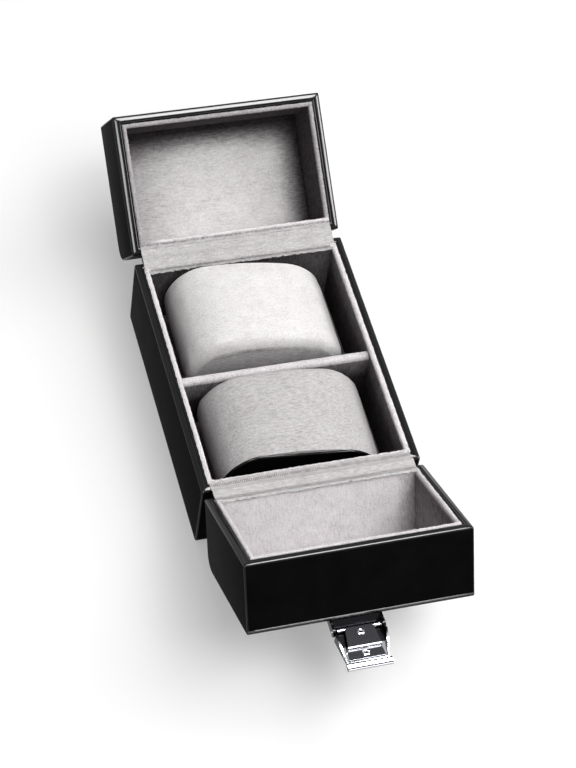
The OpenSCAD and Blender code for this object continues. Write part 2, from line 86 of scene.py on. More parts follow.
def add_node(tree, kind, inputs=(), stops=(), **settings):
    """Adds a shader node, sets its options, and fills its inputs or links them to a node.

    stops gives the colours along a ramp, as (place, hex colour).
    """
    made = tree.nodes.new("ShaderNode" + kind)
    for name, value in settings.items():
        setattr(made, name, value)
    for socket, value in dict(inputs).items():
        value = value.outputs[0] if isinstance(value, bpy.types.Node) else value
        if isinstance(value, bpy.types.NodeSocket):
            tree.links.new(value, made.inputs[socket])
        else:
            made.inputs[socket].default_value = value
    for number, (place, code) in enumerate(stops):
        if number > 1:
            made.color_ramp.elements.new(1)
        element = made.color_ramp.elements[number]
        element.position, element.color = place, linear(code)
    return made


def new_material(name):
    """Starts a material with nothing in it but its output."""
    made = bpy.data.materials.new(name)
    made.use_nodes = True
    made.node_tree.nodes.clear()
    return made, made.node_tree


def lay_place(tree, stretch=(1, 1, 1)):
    """Gives a piece's own millimetres as it lies in the closed case, stretched by an amount."""
    lay = add_node(tree, "Attribute", attribute_name="lay")
    return add_node(tree, "VectorMath", {0: lay.outputs["Vector"], 1: stretch},
                    operation="MULTIPLY")


print("hex #808080 is", round(linear("#808080")[0], 3), "in linear light")

# %% [markdown]
# The leather is PU leather: cotton backing with a black polyurethane skin that is rolled smooth
# and lacquered. It is nearly black face on and takes sharp highlights where it bends. The grain of
# such a skin is about 0.3 mm, too fine to show here, so it is drawn at 0.9 mm and very shallow.
# Where the wrap is stretched over an edge, the grain is pulled flat and the lacquer shines more,
# so edges and beads have a glossier version of the same leather. The foot of a lid's free face
# is rubbed each time the case is shut, and shines most.

# %% PU leather
GRAIN = 0.9             # mm between the middles of neighbouring grains
HANDLED = 14            # mm, the size of a patch that handling has polished
LEATHER_BLACK = "#070707"


def make_leather(name, roughness, shine, worn):
    """Makes a leather that is duller and paler where it is worn."""
    made, tree = new_material(name)
    place = lay_place(tree)
    grain = add_node(tree, "TexVoronoi", {"Vector": place, "Scale": 1 / GRAIN}, feature="F1")
    rub = add_node(tree, "TexNoise", {"Vector": place, "Scale": 1 / HANDLED, "Detail": 5})
    shade = add_node(tree, "ValToRGB", {"Fac": rub}, [(0.35, LEATHER_BLACK), (0.75, worn)])
    rough = add_node(tree, "MapRange", {"Value": rub, "To Min": roughness - 0.05,
                                        "To Max": roughness + 0.07})
    bump = add_node(tree, "Bump", {"Height": grain, "Strength": 0.1, "Distance": 0.05 * MM})
    skin = add_node(tree, "BsdfPrincipled", {"Base Color": shade, "Roughness": rough,
                                             "Specular IOR Level": shine, "Normal": bump})
    add_node(tree, "OutputMaterial", {"Surface": skin})
    return made


case_leather = make_leather("pu_leather_black", 0.42, 0.006, "#0d0d0d")
edge_leather = make_leather("pu_leather_burnished_edge", 0.15, 0.2, "#101010")
rubbed_leather = make_leather("pu_leather_rubbed_foot", 0.12, 1.0, "#101010")
print("leather grain:", GRAIN, "mm")

# %% [markdown]
# The lining is short-pile flock velvet in a cold light grey, whose fibres gather into small tufts
# and streaks. Light and shade on it are painted: each piece holds an attribute that is 1 where the
# velvet is painted lit and 0 where it is painted in shade, and its colour mixes a lit and a shaded
# copy of the velvet by that. Streaks run along the way that the pile was brushed.

# %% Velvet
TUFT = 0.8              # mm, a tuft of fibres
STREAK = 3.2            # mm, how long a brushed streak is
PATCH = 7.0             # mm, a patch where the pile leans a little differently
UNEVEN = 0.35           # how much streaks change the painted light where the velvet is painted half lit
# Tones of lit velvet on the panels and on the walls, where they are painted lighter, and of the
# painted shade.
PANEL_LIT_TONES = ("#b5b1b2", "#d4d1d1", "#e8e6e6")
WALL_LIT_TONES = ("#c2bdbf", "#e4dfe1", "#f5f2f3")
PAINTED_SHADE_TONES = ("#151214", "#454042")


def make_velvet(name, lit_tones, shade_tones, streak, bump_height=0.35):
    """Makes a velvet whose streaks lie along X, Y or Z of the closed case, and whose colour is
    painted light and shade.
    """
    made, tree = new_material(name)
    stretch = [TUFT / STREAK if axis == streak else 1 for axis in (X, Y, Z)]
    painted_light = add_node(tree, "Attribute", attribute_name="painted_light").outputs["Fac"]
    tufts = add_node(tree, "TexNoise",
                     {"Vector": lay_place(tree), "Scale": 1 / TUFT, "Detail": 5, "Roughness": 0.65})
    streaks = add_node(tree, "TexNoise",
                       {"Vector": lay_place(tree, stretch), "Scale": 1 / TUFT, "Detail": 3})
    patches = add_node(tree, "TexNoise",
                       {"Vector": lay_place(tree), "Scale": 1 / PATCH, "Detail": 4})
    pile_height = add_node(tree, "Math", {0: streaks, 1: 0.5, 2: tufts}, operation="MULTIPLY_ADD")
    tone = add_node(tree, "Math", {0: patches, 1: 0.4, 2: pile_height}, operation="MULTIPLY_ADD")
    spread = add_node(tree, "MapRange", {"Value": tone, "From Min": 0.62, "From Max": 1.28})
    lit = add_node(tree, "ValToRGB", {"Fac": spread}, zip((0, 0.5, 1), lit_tones))
    shaded = add_node(tree, "ValToRGB", {"Fac": spread}, zip((0, 1), shade_tones))
    # The painted light, made uneven by the streaks, mixes the shaded and the lit copy.
    shaded_share = add_node(tree, "Math", {0: 1, 1: painted_light}, operation="SUBTRACT")
    halfway = add_node(tree, "Math", {0: painted_light, 1: shaded_share}, operation="MULTIPLY")
    uneven = add_node(tree, "MapRange", {"Value": streaks, "From Min": 0.3, "From Max": 0.7,
                                         "To Min": -UNEVEN, "To Max": UNEVEN})
    lit_share = add_node(tree, "Math", {0: uneven, 1: halfway, 2: painted_light},
                       operation="MULTIPLY_ADD", use_clamp=True)
    colour = add_node(tree, "Mix", {"Factor": lit_share, "A": shaded, "B": lit}, data_type="RGBA")
    bump = add_node(tree, "Bump", {"Height": pile_height, "Strength": 0.5,
                                   "Distance": bump_height * MM})
    pile = add_node(tree, "BsdfPrincipled",
                    {"Base Color": colour.outputs["Result"], "Roughness": 0.95,
                     "Specular IOR Level": 0.03, "Sheen Weight": 0.03, "Sheen Roughness": 0.4,
                     "Normal": bump})
    add_node(tree, "OutputMaterial", {"Surface": pile})
    return made


wall_velvet = make_velvet("flock_velvet_walls", WALL_LIT_TONES, PAINTED_SHADE_TONES, Z)
panel_velvet = make_velvet("flock_velvet_panels", PANEL_LIT_TONES, PAINTED_SHADE_TONES, X, bump_height=0.2)
# The cushions' lit tones, and their painted shade.
cushion_velvet = make_velvet("flock_velvet_cushion", ("#bfbbbc", "#dcd9d9", "#eceaea"),
                             ("#332f31", "#5a5657"), X, bump_height=0.25)
print("velvet tufts:", TUFT, "mm, streaks:", STREAK, "mm")

# %% [markdown]
# The latch's lever and catch are stamped steel with bright chrome plate. Polished plate mirrors
# what is round it, with hairlines from the polishing wheel. The tongue is dark tempered spring
# steel, darkened further as a painted reflection of the black lid. A near-black metal is painted
# shade and dark reflection, on the base plate and on parts of the lever and its rivets. The hinges
# are zinc-plated steel, which is duller.
# A metal's look is its reflection, so only its tint and roughness are set. The boards are
# greyboard, pressed from waste paper, and the pads are open-cell polyurethane foam.

# %% Metals, board and foam
HAIRLINE = (60, 2500, 2500)     # to a metre: 17 mm long, and 0.4 mm across so that they show


def make_metal(name, colour, roughness, hairline):
    """Makes a metal; hairline is how much rougher it is along its hairlines."""
    made, tree = new_material(name)
    place = add_node(tree, "TexCoord").outputs["Object"]
    along = add_node(tree, "Mapping", {"Vector": place, "Scale": HAIRLINE})
    lines = add_node(tree, "TexNoise", {"Vector": along, "Scale": 1, "Detail": 3})
    rough = add_node(tree, "MapRange", {"Value": lines, "To Min": roughness,
                                        "To Max": roughness + hairline})
    metal = add_node(tree, "BsdfPrincipled", {"Base Color": linear(colour), "Metallic": 1,
                                              "Roughness": rough})
    add_node(tree, "OutputMaterial", {"Surface": metal})
    return made


chrome = make_metal("chrome_plated_steel", "#a6a7ab", 0.05, 0.07)
# Tempered steel, darkened as a painted reflection of the black lid.
spring_steel_painted_dark = make_metal("tempered_spring_steel_painted_reflection", "#3a3a3d", 0.1, 0.08)
# A near-black metal that stands for painted shade and dark reflection.
painted_shade_metal = make_metal("near_black_painted_shade_metal", "#1f1f21", 0.12, 0.1)
zinc = make_metal("zinc_plated_steel", "#a4a5a8", 0.25, 0.2)


def make_core(name, low, high, size):
    """A dull core material with specks of a size in millimetres."""
    made, tree = new_material(name)
    place = add_node(tree, "TexCoord").outputs["Object"]
    specks = add_node(tree, "TexNoise", {"Vector": place, "Scale": 1 / (size * MM), "Detail": 4})
    bump = add_node(tree, "Bump", {"Height": specks, "Strength": 0.4, "Distance": 0.1 * MM})
    shade = add_node(tree, "ValToRGB", {"Fac": specks}, [(0.3, low), (0.7, high)])
    core = add_node(tree, "BsdfPrincipled", {"Base Color": shade, "Roughness": 0.9,
                                             "Specular IOR Level": 0.2, "Normal": bump})
    add_node(tree, "OutputMaterial", {"Surface": core})
    return made


board = make_core("greyboard", "#7d7468", "#9c9284", 1.5)
foam = make_core("polyurethane_foam", "#cfc9b6", "#e6e1d0", 0.8)

CORE_FINISH = {"board": board, "leaf": zinc, "pin": zinc, "foam": foam}
for name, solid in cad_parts.items():
    kind = name.split("_")[-1]
    if kind in CORE_FINISH:
        solid.data.materials.clear()
        solid.data.materials.append(CORE_FINISH[kind])
print("materials:", [m.name for m in bpy.data.materials])

# %% [markdown]
# All sizes are millimetres, as on the maker's drawing, and one factor turns them into metres.
# The case is drawn closed, with X across it, Y from the front hinge to the back hinge and Z up.

# %% Sizes
CASE_W, CASE_L, BODY_H, LID_H = 110, 144, 43, 37
RIM_GAP = 0.6
COVERED, LINING, PANEL = 4.4, 2.1, 1.5  # board with its leather, wall velvet, floor velvet
WALL = COVERED + LINING
HALF_W, HALF_L = CASE_W / 2, CASE_L / 2
ROOM_X, ROOM_Y = HALF_W - WALL, HALF_L - WALL
LID_Z, LID_TOP, MEET_Y = BODY_H + RIM_GAP, BODY_H + RIM_GAP + LID_H, RIM_GAP / 2
HINGE_Y, HINGE_Z = 74, 43.3
OPEN_ANGLE = {"back": 144, "front": 150}
NEAR = 0.02                             # places closer than this count as the same
print("closed case:", CASE_W, "x", CASE_L, "x", LID_TOP, "mm")

# %% [markdown]
# A few helpers do what the hand does in edit mode. The first ones open a block and pick points,
# edges or faces by where they are. An operator acts on all that is selected, so each step picks
# its own first.

# %% Blocks and picking
def to_mode(name):
    bpy.ops.object.mode_set(mode=name)


def named(name):
    """Names the primitive that was just added."""
    piece = bpy.context.object
    piece.name = piece.data.name = name
    return piece


def begin(name, low, high):
    """Adds a block between two corners and opens it for editing."""
    bpy.ops.object.select_all(action="DESELECT")
    middle = [(a + b) / 2 * MM for a, b in zip(low, high)]
    size = [(b - a) * MM for a, b in zip(low, high)]
    bpy.ops.mesh.primitive_cube_add(size=1, location=middle)
    piece = named(name)
    piece.scale = size
    bpy.ops.object.transform_apply(location=True, rotation=True, scale=True)
    to_mode("EDIT")
    return piece


def select_only(piece):
    bpy.ops.object.select_all(action="DESELECT")
    piece.select_set(True)
    bpy.context.view_layer.objects.active = piece


def pick(kind, test):
    """Selects the points, edges or faces whose points, in millimetres, pass a test."""
    bpy.ops.mesh.select_mode(type=kind)
    bpy.ops.mesh.select_all(action="DESELECT")
    data = bpy.context.edit_object.data
    mesh = bmesh.from_edit_mesh(data)
    parts = {"VERT": mesh.verts, "EDGE": mesh.edges, "FACE": mesh.faces}[kind]
    found = 0
    for part in parts:
        points = [part.co / MM] if kind == "VERT" else [v.co / MM for v in part.verts]
        if test(points):
            part.select_set(True)
            found += 1
    bmesh.update_edit_mesh(data)
    return found


def pick_all():
    bpy.ops.mesh.select_all(action="SELECT")


def at(axis, *values):
    """A test that every point has one of these coordinates."""
    return lambda points: all(min(abs(p[axis] - v) for v in values) < NEAR for p in points)


# %% [markdown]
# The next ones move, extrude, bevel or step in what is picked, and cut a loop where a plane
# crosses the piece. Extruding can leave faces that look inwards, so a piece's faces are made to
# agree before Solidify gives it thickness. A modifier is applied as soon as it is added.

# %% Shaping
def move(x=0, y=0, z=0):
    bpy.ops.transform.translate(value=(x * MM, y * MM, z * MM))


def push(x=0, y=0, z=0):
    """Extrudes what is picked."""
    bpy.ops.mesh.extrude_region_move(TRANSFORM_OT_translate={"value": (x * MM, y * MM, z * MM)})


def bevel(width, steps):
    bpy.ops.mesh.bevel(offset=width * MM, segments=steps, affect="EDGES")


def rings(steps):
    """Steps a picked face in, ring by ring, by (how far in, how far out along its normal)."""
    for inward, outward in steps:
        bpy.ops.mesh.inset(thickness=inward * MM, depth=outward * MM)


def cut(axis, value):
    """Adds a loop of edges all round a piece, where a plane crosses it."""
    pick_all()
    normal = [1 if i == axis else 0 for i in range(3)]
    bpy.ops.mesh.bisect(plane_co=[value * MM * n for n in normal], plane_no=normal)


def face_outwards(piece, outward):
    """Makes all faces agree, and makes the one that lies furthest outward look that way."""
    pick_all()
    bpy.ops.mesh.normals_make_consistent(inside=False)
    mesh = bmesh.from_edit_mesh(piece.data)
    outward = Vector(outward)
    first = max(mesh.faces, key=lambda f: (round(f.calc_center_median().dot(outward), 6),
                                           f.calc_area()))
    if first.normal.dot(outward) < 0:
        bpy.ops.mesh.flip_normals()


def add_modifier(piece, kind, **settings):
    """Adds a modifier with its settings and applies it."""
    made = piece.modifiers.new(kind.title(), kind)
    for name, value in settings.items():
        setattr(made, name, value)
    bpy.ops.object.modifier_apply(modifier=made.name)


# %% [markdown]
# A finished piece has its origin at zero and its place in its mesh. Before a lid's piece is swung
# open, its points are written to the attribute "lay", so that a pattern follows the piece wherever
# it is turned. Then the piece is handed to the frame: the body that it moves with, its material
# slot, and the solids that it stands in for.

# %% Finishing helpers
def write_lay(piece, painted_light):
    """Stores each point's place, and how lit its velvet is painted, for the materials to read."""
    places = [point.co / MM for point in piece.data.vertices]
    lay = piece.data.attributes.new("lay", "FLOAT_VECTOR", "POINT")
    lay.data.foreach_set("vector", [c for place in places for c in place])
    lit_share = piece.data.attributes.new("painted_light", "FLOAT", "POINT")
    lit_share.data.foreach_set("value", [painted_light(p) if callable(painted_light) else painted_light for p in places])


def swing_open(piece, lid):
    """Turns a piece of the closed back lid to where it lies on an open lid."""
    hinge = Vector((0, HINGE_Y, HINGE_Z)) * MM
    turn = (Matrix.Translation(hinge) @ Matrix.Rotation(-math.radians(OPEN_ANGLE[lid]), 4, "X")
            @ Matrix.Translation(-hinge))
    if lid == "front":
        turn = Matrix.Rotation(math.pi, 4, "Z") @ turn
    piece.data.transform(turn)


def done(piece, finish, body, stands_for, painted_light=1, lid=None, smooth=40):
    """Closes a piece, gives it its material and hands it to the frame."""
    if piece.mode == "EDIT":
        to_mode("OBJECT")
    select_only(piece)
    bpy.ops.object.shade_smooth_by_angle(angle=math.radians(smooth))
    write_lay(piece, painted_light)
    if lid:
        swing_open(piece, lid)
    if finish:
        piece.data.materials.clear()
        piece.data.materials.append(finish)
    if isinstance(body, str):
        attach(piece, body)
    else:
        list(body)
        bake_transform(piece)
    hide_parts(*stands_for)
    piece.select_set(False)
    print(piece.name, len(piece.data.polygons), "faces")


# %% [markdown]
# A leather shell is one wrap of PU leather over board: up the outside, over the rim and a little
# way down inside. Padding under the rim makes it a soft bead, so the face of the block is stepped
# in ring by ring along the bead's section. The block starts lower by what those rings rise.

# %% Sizes of the leather
def rim_block(name, low, high, up, rise):
    """Adds a block that lacks what its rim will rise.

    The rim is the high face, or the low face where up is -1. Gives the block and the heights of
    the finished rim, of the far face, and of the block's own face under the rim.
    """
    rim, far = (high[Z], low[Z]) if up > 0 else (low[Z], high[Z])
    face = rim - up * rise
    piece = begin(name, (low[X], low[Y], min(face, far)), (high[X], high[Y], max(face, far)))
    return piece, rim, far, face


# steps along the bead's section: how far in, and how far up
BEAD = [(0.1, 0.3), (0.1, 0.2), (0.5, 0.46), (0.3, 0.14), (0.6, 0.16), (0.6, 0.16),
        (0.45, 0.08), (0.35, 0), (0.35, -0.08), (0.35, -0.2), (0.4, -0.35), (0.32, -0.35)]
BEAD_RISE = sum(outward for inward, outward in BEAD if outward > 0)
BEAD_RUN = 1.7          # mm in from the outside, up to which a bead's mitre is eased
TURN_IN = 1.9           # mm, how far the wrap goes down inside
TURN_UNDER = 7          # mm, how far the body's wrap goes in under the floor
HINGE_X = HALF_W - COVERED              # the rim is let down up to here on both sides
LET_DOWN = 1.0          # mm, how much lower the rim is over a hinge
LET_DOWN_RUN = 0.25     # mm, how far along the rim it takes to get there
FOOT_BEND = 1.5         # mm, the radius at the foot of a lid's free face
RUBBED = 0.9            # mm above that bend that are rubbed shiny
FOOT_R, SHOULDER_R = 2, 8               # at the body's foot, and on a lid over the hinge
EDGE_R = 0.7            # mm, the round of the sides' edges and of the corners
SHELL_T = 0.95          # mm, how thick the wrap is with its padding
CASE, EDGE, RUBBED_FOOT = 0, 1, 2       # the shell's three materials
print("bead:", round(BEAD_RISE, 2), "mm high,", round(sum(b[0] for b in BEAD), 2), "mm wide")

# %% [markdown]
# The far face of the block is taken away, or turned in under the body, which leaves a sheet that
# Solidify gives its thickness. The corners stay mitred, as folded leather does, and are eased only
# near the outside. Where a hinge lies, the rim is let down for it.

# %% Leather shells
def leather_shell(name, low, high, up, rounded, hinge_ends, turn_under=0):
    """Makes a shell; rounded gives the place, radius and steps of each end of its far face."""
    piece, rim, far, block_rim = rim_block(name, low, high, up, BEAD_RISE)
    for end, radius, steps in rounded:
        pick("EDGE", lambda p: at(Z, far)(p) and at(Y, end)(p))
        bevel(radius, steps)
    pick("FACE", at(Z, block_rim))
    rings(BEAD)
    push(z=-up * TURN_IN)
    bpy.ops.mesh.delete(type="FACE")

    def corner(p):
        """An edge that runs up or over one of the four corners."""
        inset = [(HALF_W - abs(v.x), min(v.y - low[Y], high[Y] - v.y)) for v in p]
        return (all(abs(dx - dy) < NEAR and dx < BEAD_RUN for dx, dy in inset)
                and (p[0] - p[1]).xy.length < 3)

    def outline(p):
        """An edge round a side face, apart from its rim."""
        return (at(X, -HALF_W)(p) or at(X, HALF_W)(p)) and not at(Z, block_rim)(p)

    pick("EDGE", lambda p: corner(p) or outline(p))
    bevel(EDGE_R, 3)
    if turn_under:
        pick("FACE", at(Z, far))
        bpy.ops.mesh.inset(thickness=(turn_under - EDGE_R) * MM)
        bpy.ops.mesh.delete(type="FACE")
    else:
        cut(Z, far + up * (RUBBED + FOOT_BEND))
        cut(Z, far + up * FOOT_BEND)
    for x in (-HINGE_X, -HINGE_X + LET_DOWN_RUN, HINGE_X - LET_DOWN_RUN, HINGE_X):
        cut(X, x)
    pick("VERT", lambda p: abs(p[0].x) < HINGE_X - 0.1 and abs(p[0].z - rim) < 4
         and any(abs(p[0].y - end) < WALL for end in hinge_ends))
    move(z=-up * LET_DOWN)
    pick_all()
    bpy.ops.mesh.remove_doubles(threshold=0.03 * MM)
    face_outwards(piece, (-1, 0, 0))
    to_mode("OBJECT")
    for leather in (case_leather, edge_leather, rubbed_leather):
        piece.data.materials.append(leather)
    for face in piece.data.polygons:
        flat = max(abs(c) for c in face.normal) > 0.999
        at_foot = (not turn_under and face.normal.y < -0.9
                   and FOOT_BEND < abs(face.center.z / MM - far) < RUBBED + FOOT_BEND)
        face.material_index = RUBBED_FOOT if at_foot else CASE if flat else EDGE
    add_modifier(piece, "SOLIDIFY", thickness=SHELL_T * MM, offset=-1)
    return piece


# %% [markdown]
# The body's shell has its rim up and a small round along the foot of both short walls. A lid's
# shell is the same form upside down, since its rim looks down when the case is closed. It has a
# wide shoulder over the hinge and a small round at the foot of its free face.

# %% Body and lid shells
body_shell = leather_shell("body_leather_wrap", (-HALF_W, -HALF_L, 0), (HALF_W, HALF_L, BODY_H), 1,
                           [(-HALF_L, FOOT_R, 4), (HALF_L, FOOT_R, 4)], (-HALF_L, HALF_L),
                           turn_under=TURN_UNDER)
done(body_shell, None, "case_body", ["body_leather"])
for lid in OPEN_ANGLE:
    shell = leather_shell(lid + "_lid_leather_wrap", (-HALF_W, MEET_Y, LID_Z),
                          (HALF_W, HALF_L, LID_TOP), -1,
                          [(HALF_L, SHOULDER_R, 10), (MEET_Y, FOOT_BEND, 4)], (HALF_L,))
    done(shell, None, lid + "_lid", [lid + "_lid_leather"], lid=lid)

# %% [markdown]
# Under the body, the wrap is turned in by 7 mm and a flat leather cover hides its raw edges. It
# is a block with its lower edge eased, because the case slides over tables on that edge.

# %% Base cover
COVER_X, COVER_Y, COVER_LOW = HALF_W - TURN_UNDER, HALF_L - TURN_UNDER, 0.05
cover = begin("base_cover_panel", (-COVER_X, -COVER_Y, COVER_LOW), (COVER_X, COVER_Y, 1))
pick("EDGE", at(Z, COVER_LOW))
bevel(0.4, 3)
done(cover, case_leather, "case_body", ["base_cover"])

# %% [markdown]
# The linings are thin board with velvet glued over it. Their lips show beside the leather bead as
# a soft, ragged band, because the pile stands up where the cloth bends. A lip is cut into short
# lengths and its points are moved by a fixed noise, which costs far less than hairs would.

# %% Ragged velvet
# steps along the lip's section: how far in, and how far up
LIP = [(0.2, 0.6), (0.4, 0.3), (0.45, 0.1), (0.45, -0.1), (0.4, -0.3), (0.2, -0.6)]
LIP_RISE = 0.85         # mm, how much of that section shows over the leather's turned-in edge
LIP_LET_DOWN = 0.75     # mm, how much lower the lip is over a hinge
LIGHT_CUTS = (1.8, 3, 5, 7, 9, 12, 15, 19, 24)    # mm under the rim, where the painted shade can change
FUZZ = 0.3              # mm, how far tufts stand out
FUZZ_STEP = 0.75        # mm between the cuts along a lip


def roughen(piece, test, height=FUZZ, size=TUFT):
    """Moves picked points by a small fixed noise."""
    for point in piece.data.vertices:
        place = point.co / MM
        if test(place):
            point.co += noise.noise_vector(place / size) * height * MM


def cut_lengthwise(step, longer_than=20):
    """Cuts long straight edges into short lengths."""
    for axis in (X, Y):
        mesh = bmesh.from_edit_mesh(bpy.context.edit_object.data)
        longest = max(abs(e.verts[0].co[axis] - e.verts[1].co[axis]) for e in mesh.edges) / MM
        if pick("EDGE", lambda p: abs(p[0][axis] - p[-1][axis]) > longer_than):
            bpy.ops.mesh.subdivide(number_cuts=int(longest / step))


# %% [markdown]
# The lip is stepped in along a half-round section. The ring round the room is closed by a bridge
# between its inner and outer loops, and is cut where its painted shade can change.

# %% Wall linings
def spread_lip(piece, overlap, rim, half_x, from_y, to_y):
    """Lets the pile of a lip lie over the leather beside it, by some millimetres."""
    for point in piece.data.vertices:
        p = point.co / MM
        if abs(p.z - rim) < 0.6:
            if abs(p.x) > half_x - 0.7:
                point.co.x += math.copysign(overlap, p.x) * MM
            for end, way in ((from_y, -1), (to_y, 1)):
                if abs(p.y - end) < 0.7:
                    point.co.y += way * overlap * MM


def wall_lining(name, low, high, up, hinge_ends, overlap):
    """Makes the velvet ring round a room, whose lip lies over the leather by an overlap."""
    piece, rim, far, block_rim = rim_block(name, low, high, up, LIP_RISE)
    pick("FACE", at(Z, block_rim))
    rings(LIP)
    push(z=far - block_rim + up * 0.01)
    bpy.ops.mesh.delete(type="FACE")
    pick("FACE", at(Z, far))
    bpy.ops.mesh.delete(type="FACE")
    pick("EDGE", lambda p: all(abs(v.z - far) < 0.05 for v in p))
    bpy.ops.mesh.bridge_edge_loops()
    cut_lengthwise(FUZZ_STEP)
    for depth in LIGHT_CUTS:
        cut(Z, rim - up * depth)
    face_outwards(piece, (-1, 0, 0))
    pick("VERT", lambda p: abs(p[0].z - rim) < 1.5 and abs(p[0].x) < ROOM_X - 1
         and any(abs(p[0].y - end) < WALL + NEAR for end in hinge_ends))
    move(z=-up * LIP_LET_DOWN)
    to_mode("OBJECT")
    spread_lip(piece, overlap, rim, high[X], low[Y], high[Y])
    roughen(piece, lambda p: abs(p.z - rim) < 2.2)
    return piece


# %% [markdown]
# A lip is painted lit. Further down, a wall is painted in shade: less on the walls that are listed
# as lighter, and more near one corner.

# %% Painted shade on the walls
def clamp(value):
    """Keeps a value between 0 and 1."""
    return max(0.0, min(1.0, value))


def wall_painted_light(rim, lip, walls):
    """Paints light at the rim and shade further down.

    lip is how lit the rim is painted. walls lists the walls that are painted lighter: axis, side,
    painted light under the rim and at the far end, and how many millimetres the change takes.
    """
    def painted_light(p):
        depth = abs(p.z - rim)
        shade = DEEP_WALL_LIGHT
        for axis, side, near, far, change in walls:
            wall = ROOM_X if axis == X else ROOM_Y if side > 0 else -MEET_Y - WALL
            if side * p[axis] > wall - 0.3:
                shade = near + (far - near) * min(1, depth / change)
                if axis == Y and side > 0:          # painted shade near its left corner
                    shade *= min(1, 0.45 + (p.x + ROOM_X) / 18)
        return max(clamp(shade), lip * min(1.0, 2.1 - depth / 1.1))
    return painted_light


DEEP_WALL_LIGHT = 0.03         # how lit a wall is painted down in its room: nearly all painted shade
# How lit each lid's lip is painted, and the walls whose painted shade is lighter.
LIP_LIGHT = {"back": 0.5, "front": 0.85}
BODY_WALL_LIGHT = [(X, 1, 0.14, 0, 15), (Y, 1, 0.07, 0.16, 24)]
LID_WALL_LIGHT = {"back": [(Y, 1, 0.9, 1.0, 24), (Y, -1, 0, 0.06, 31)],
                 "front": [(Y, 1, 1.0, 0.97, 12), (X, -1, 0.12, 0.3, 24)]}

ring_x, ring_y = HINGE_X - 0.04, HALF_L - COVERED - 0.04
lining = wall_lining("body_wall_velvet", (-ring_x, -ring_y, COVERED), (ring_x, ring_y, BODY_H), 1,
                     (-HALF_L, HALF_L), 0.6)
done(lining, wall_velvet, "case_body", ["body_wall_lining"],
     painted_light=wall_painted_light(BODY_H, 0.9, BODY_WALL_LIGHT))
for lid in OPEN_ANGLE:
    lining = wall_lining(lid + "_lid_wall_velvet", (-ring_x, MEET_Y + COVERED + 0.04, LID_Z),
                         (ring_x, ring_y, LID_TOP - COVERED), -1, (HALF_L,), 0.1)
    done(lining, wall_velvet, lid + "_lid", [lid + "_lid_wall_lining"],
         painted_light=wall_painted_light(LID_Z, LIP_LIGHT[lid], LID_WALL_LIGHT[lid]), lid=lid)

# %% [markdown]
# The floor of the body and the top of each lid carry a padded velvet panel. It is a block that is
# cut into short lengths both ways. Its visible face gets a round edge and swells a little towards
# the middle, as wadding under cloth does.

# %% Floor and top panels
GAP = 0.05              # mm between a panel and the walls round it
PADDING_STEP = 2.4      # mm between the cuts across a panel


def panel(name, low, high, up, crown):
    """Makes a panel whose visible face looks up or down and swells by an amount."""
    face = high[Z] if up > 0 else low[Z]
    piece = begin(name, low, high)
    cut_lengthwise(PADDING_STEP)
    pick("EDGE", lambda p: at(Z, face)(p)
         and (at(X, low[X], high[X])(p) or at(Y, low[Y], high[Y])(p)))
    bevel(0.5, 2)
    to_mode("OBJECT")
    half_x, half_y = (high[X] - low[X]) / 2, (high[Y] - low[Y]) / 2
    mid_y = (high[Y] + low[Y]) / 2
    for point in piece.data.vertices:
        p = point.co / MM
        if abs(p.z - face) < 0.1:
            swell = (1 - (p.x / half_x) ** 4) * (1 - ((p.y - mid_y) / half_y) ** 4)
            point.co.z += up * crown * swell * MM
    roughen(piece, lambda p: abs(p.z - face) < crown + 0.1, 0.12, 3.0)
    return piece


def eased(value):
    """Goes smoothly from 0 to 1."""
    value = clamp(value)
    return value * value * (3 - 2 * value)


def back_panel_shadow(p):
    """Paints shadow beside the free-edge wall and the right wall, over 14 to 24 and 18 mm, and some
    shade along the left wall, over 34 mm.
    """
    from_free_edge = (p.y - MEET_Y - WALL - 2) / (14 + 10 * (p.x / ROOM_X) ** 2)
    from_right = (ROOM_X - p.x + 1) / 18
    from_left = (p.x + ROOM_X) / 34
    return eased(from_free_edge) * eased(from_right) * (0.66 + 0.34 * eased(from_left))


floor_panel = panel("body_floor_velvet", (-ROOM_X + GAP, -ROOM_Y + GAP, COVERED),
                    (ROOM_X - GAP, ROOM_Y - GAP, COVERED + PANEL - 0.2), 1, 0.15)
# The body's floor is painted in part shade.
done(floor_panel, panel_velvet, "case_body", ["body_floor_lining"], painted_light=0.35, smooth=60)
for lid in OPEN_ANGLE:
    top_panel = panel(lid + "_lid_top_velvet",
                      (-ROOM_X + GAP, MEET_Y + WALL + GAP, LID_TOP - COVERED - PANEL),
                      (ROOM_X - GAP, ROOM_Y - GAP, LID_TOP - COVERED), -1, 0.8)
    done(top_panel, panel_velvet, lid + "_lid", [lid + "_lid_top_lining"], lid=lid,
         smooth=60, painted_light=back_panel_shadow if lid == "back" else 1)

# %% [markdown]
# The divider is a thin board in a folded velvet sleeve. The fold on top is round and fuzzy. It is
# a block whose two top edges are bevelled into one half-round, cut along its length and roughened.

# %% Divider
DIVIDER_TOP = 40
DIVIDER_Y = (-5.25, -0.75)              # its two sides, a little in front of the case's middle
FOLD_FROM, SHADE_FROM = 36.9, 24        # heights above which the fold and the sides are painted lighter

divider = begin("divider_velvet_sleeve", (-ROOM_X + GAP, DIVIDER_Y[0], COVERED + PANEL),
                (ROOM_X - GAP, DIVIDER_Y[1], DIVIDER_TOP))
pick("EDGE", lambda p: at(Z, DIVIDER_TOP)(p) and abs(p[0].x - p[1].x) > 1)
bevel(2.0, 5)
cut_lengthwise(FUZZ_STEP)
for height in (FOLD_FROM, 37.7, 30, SHADE_FROM):
    cut(Z, height)
to_mode("OBJECT")
roughen(divider, lambda p: p.z > 37.5, 0.26)
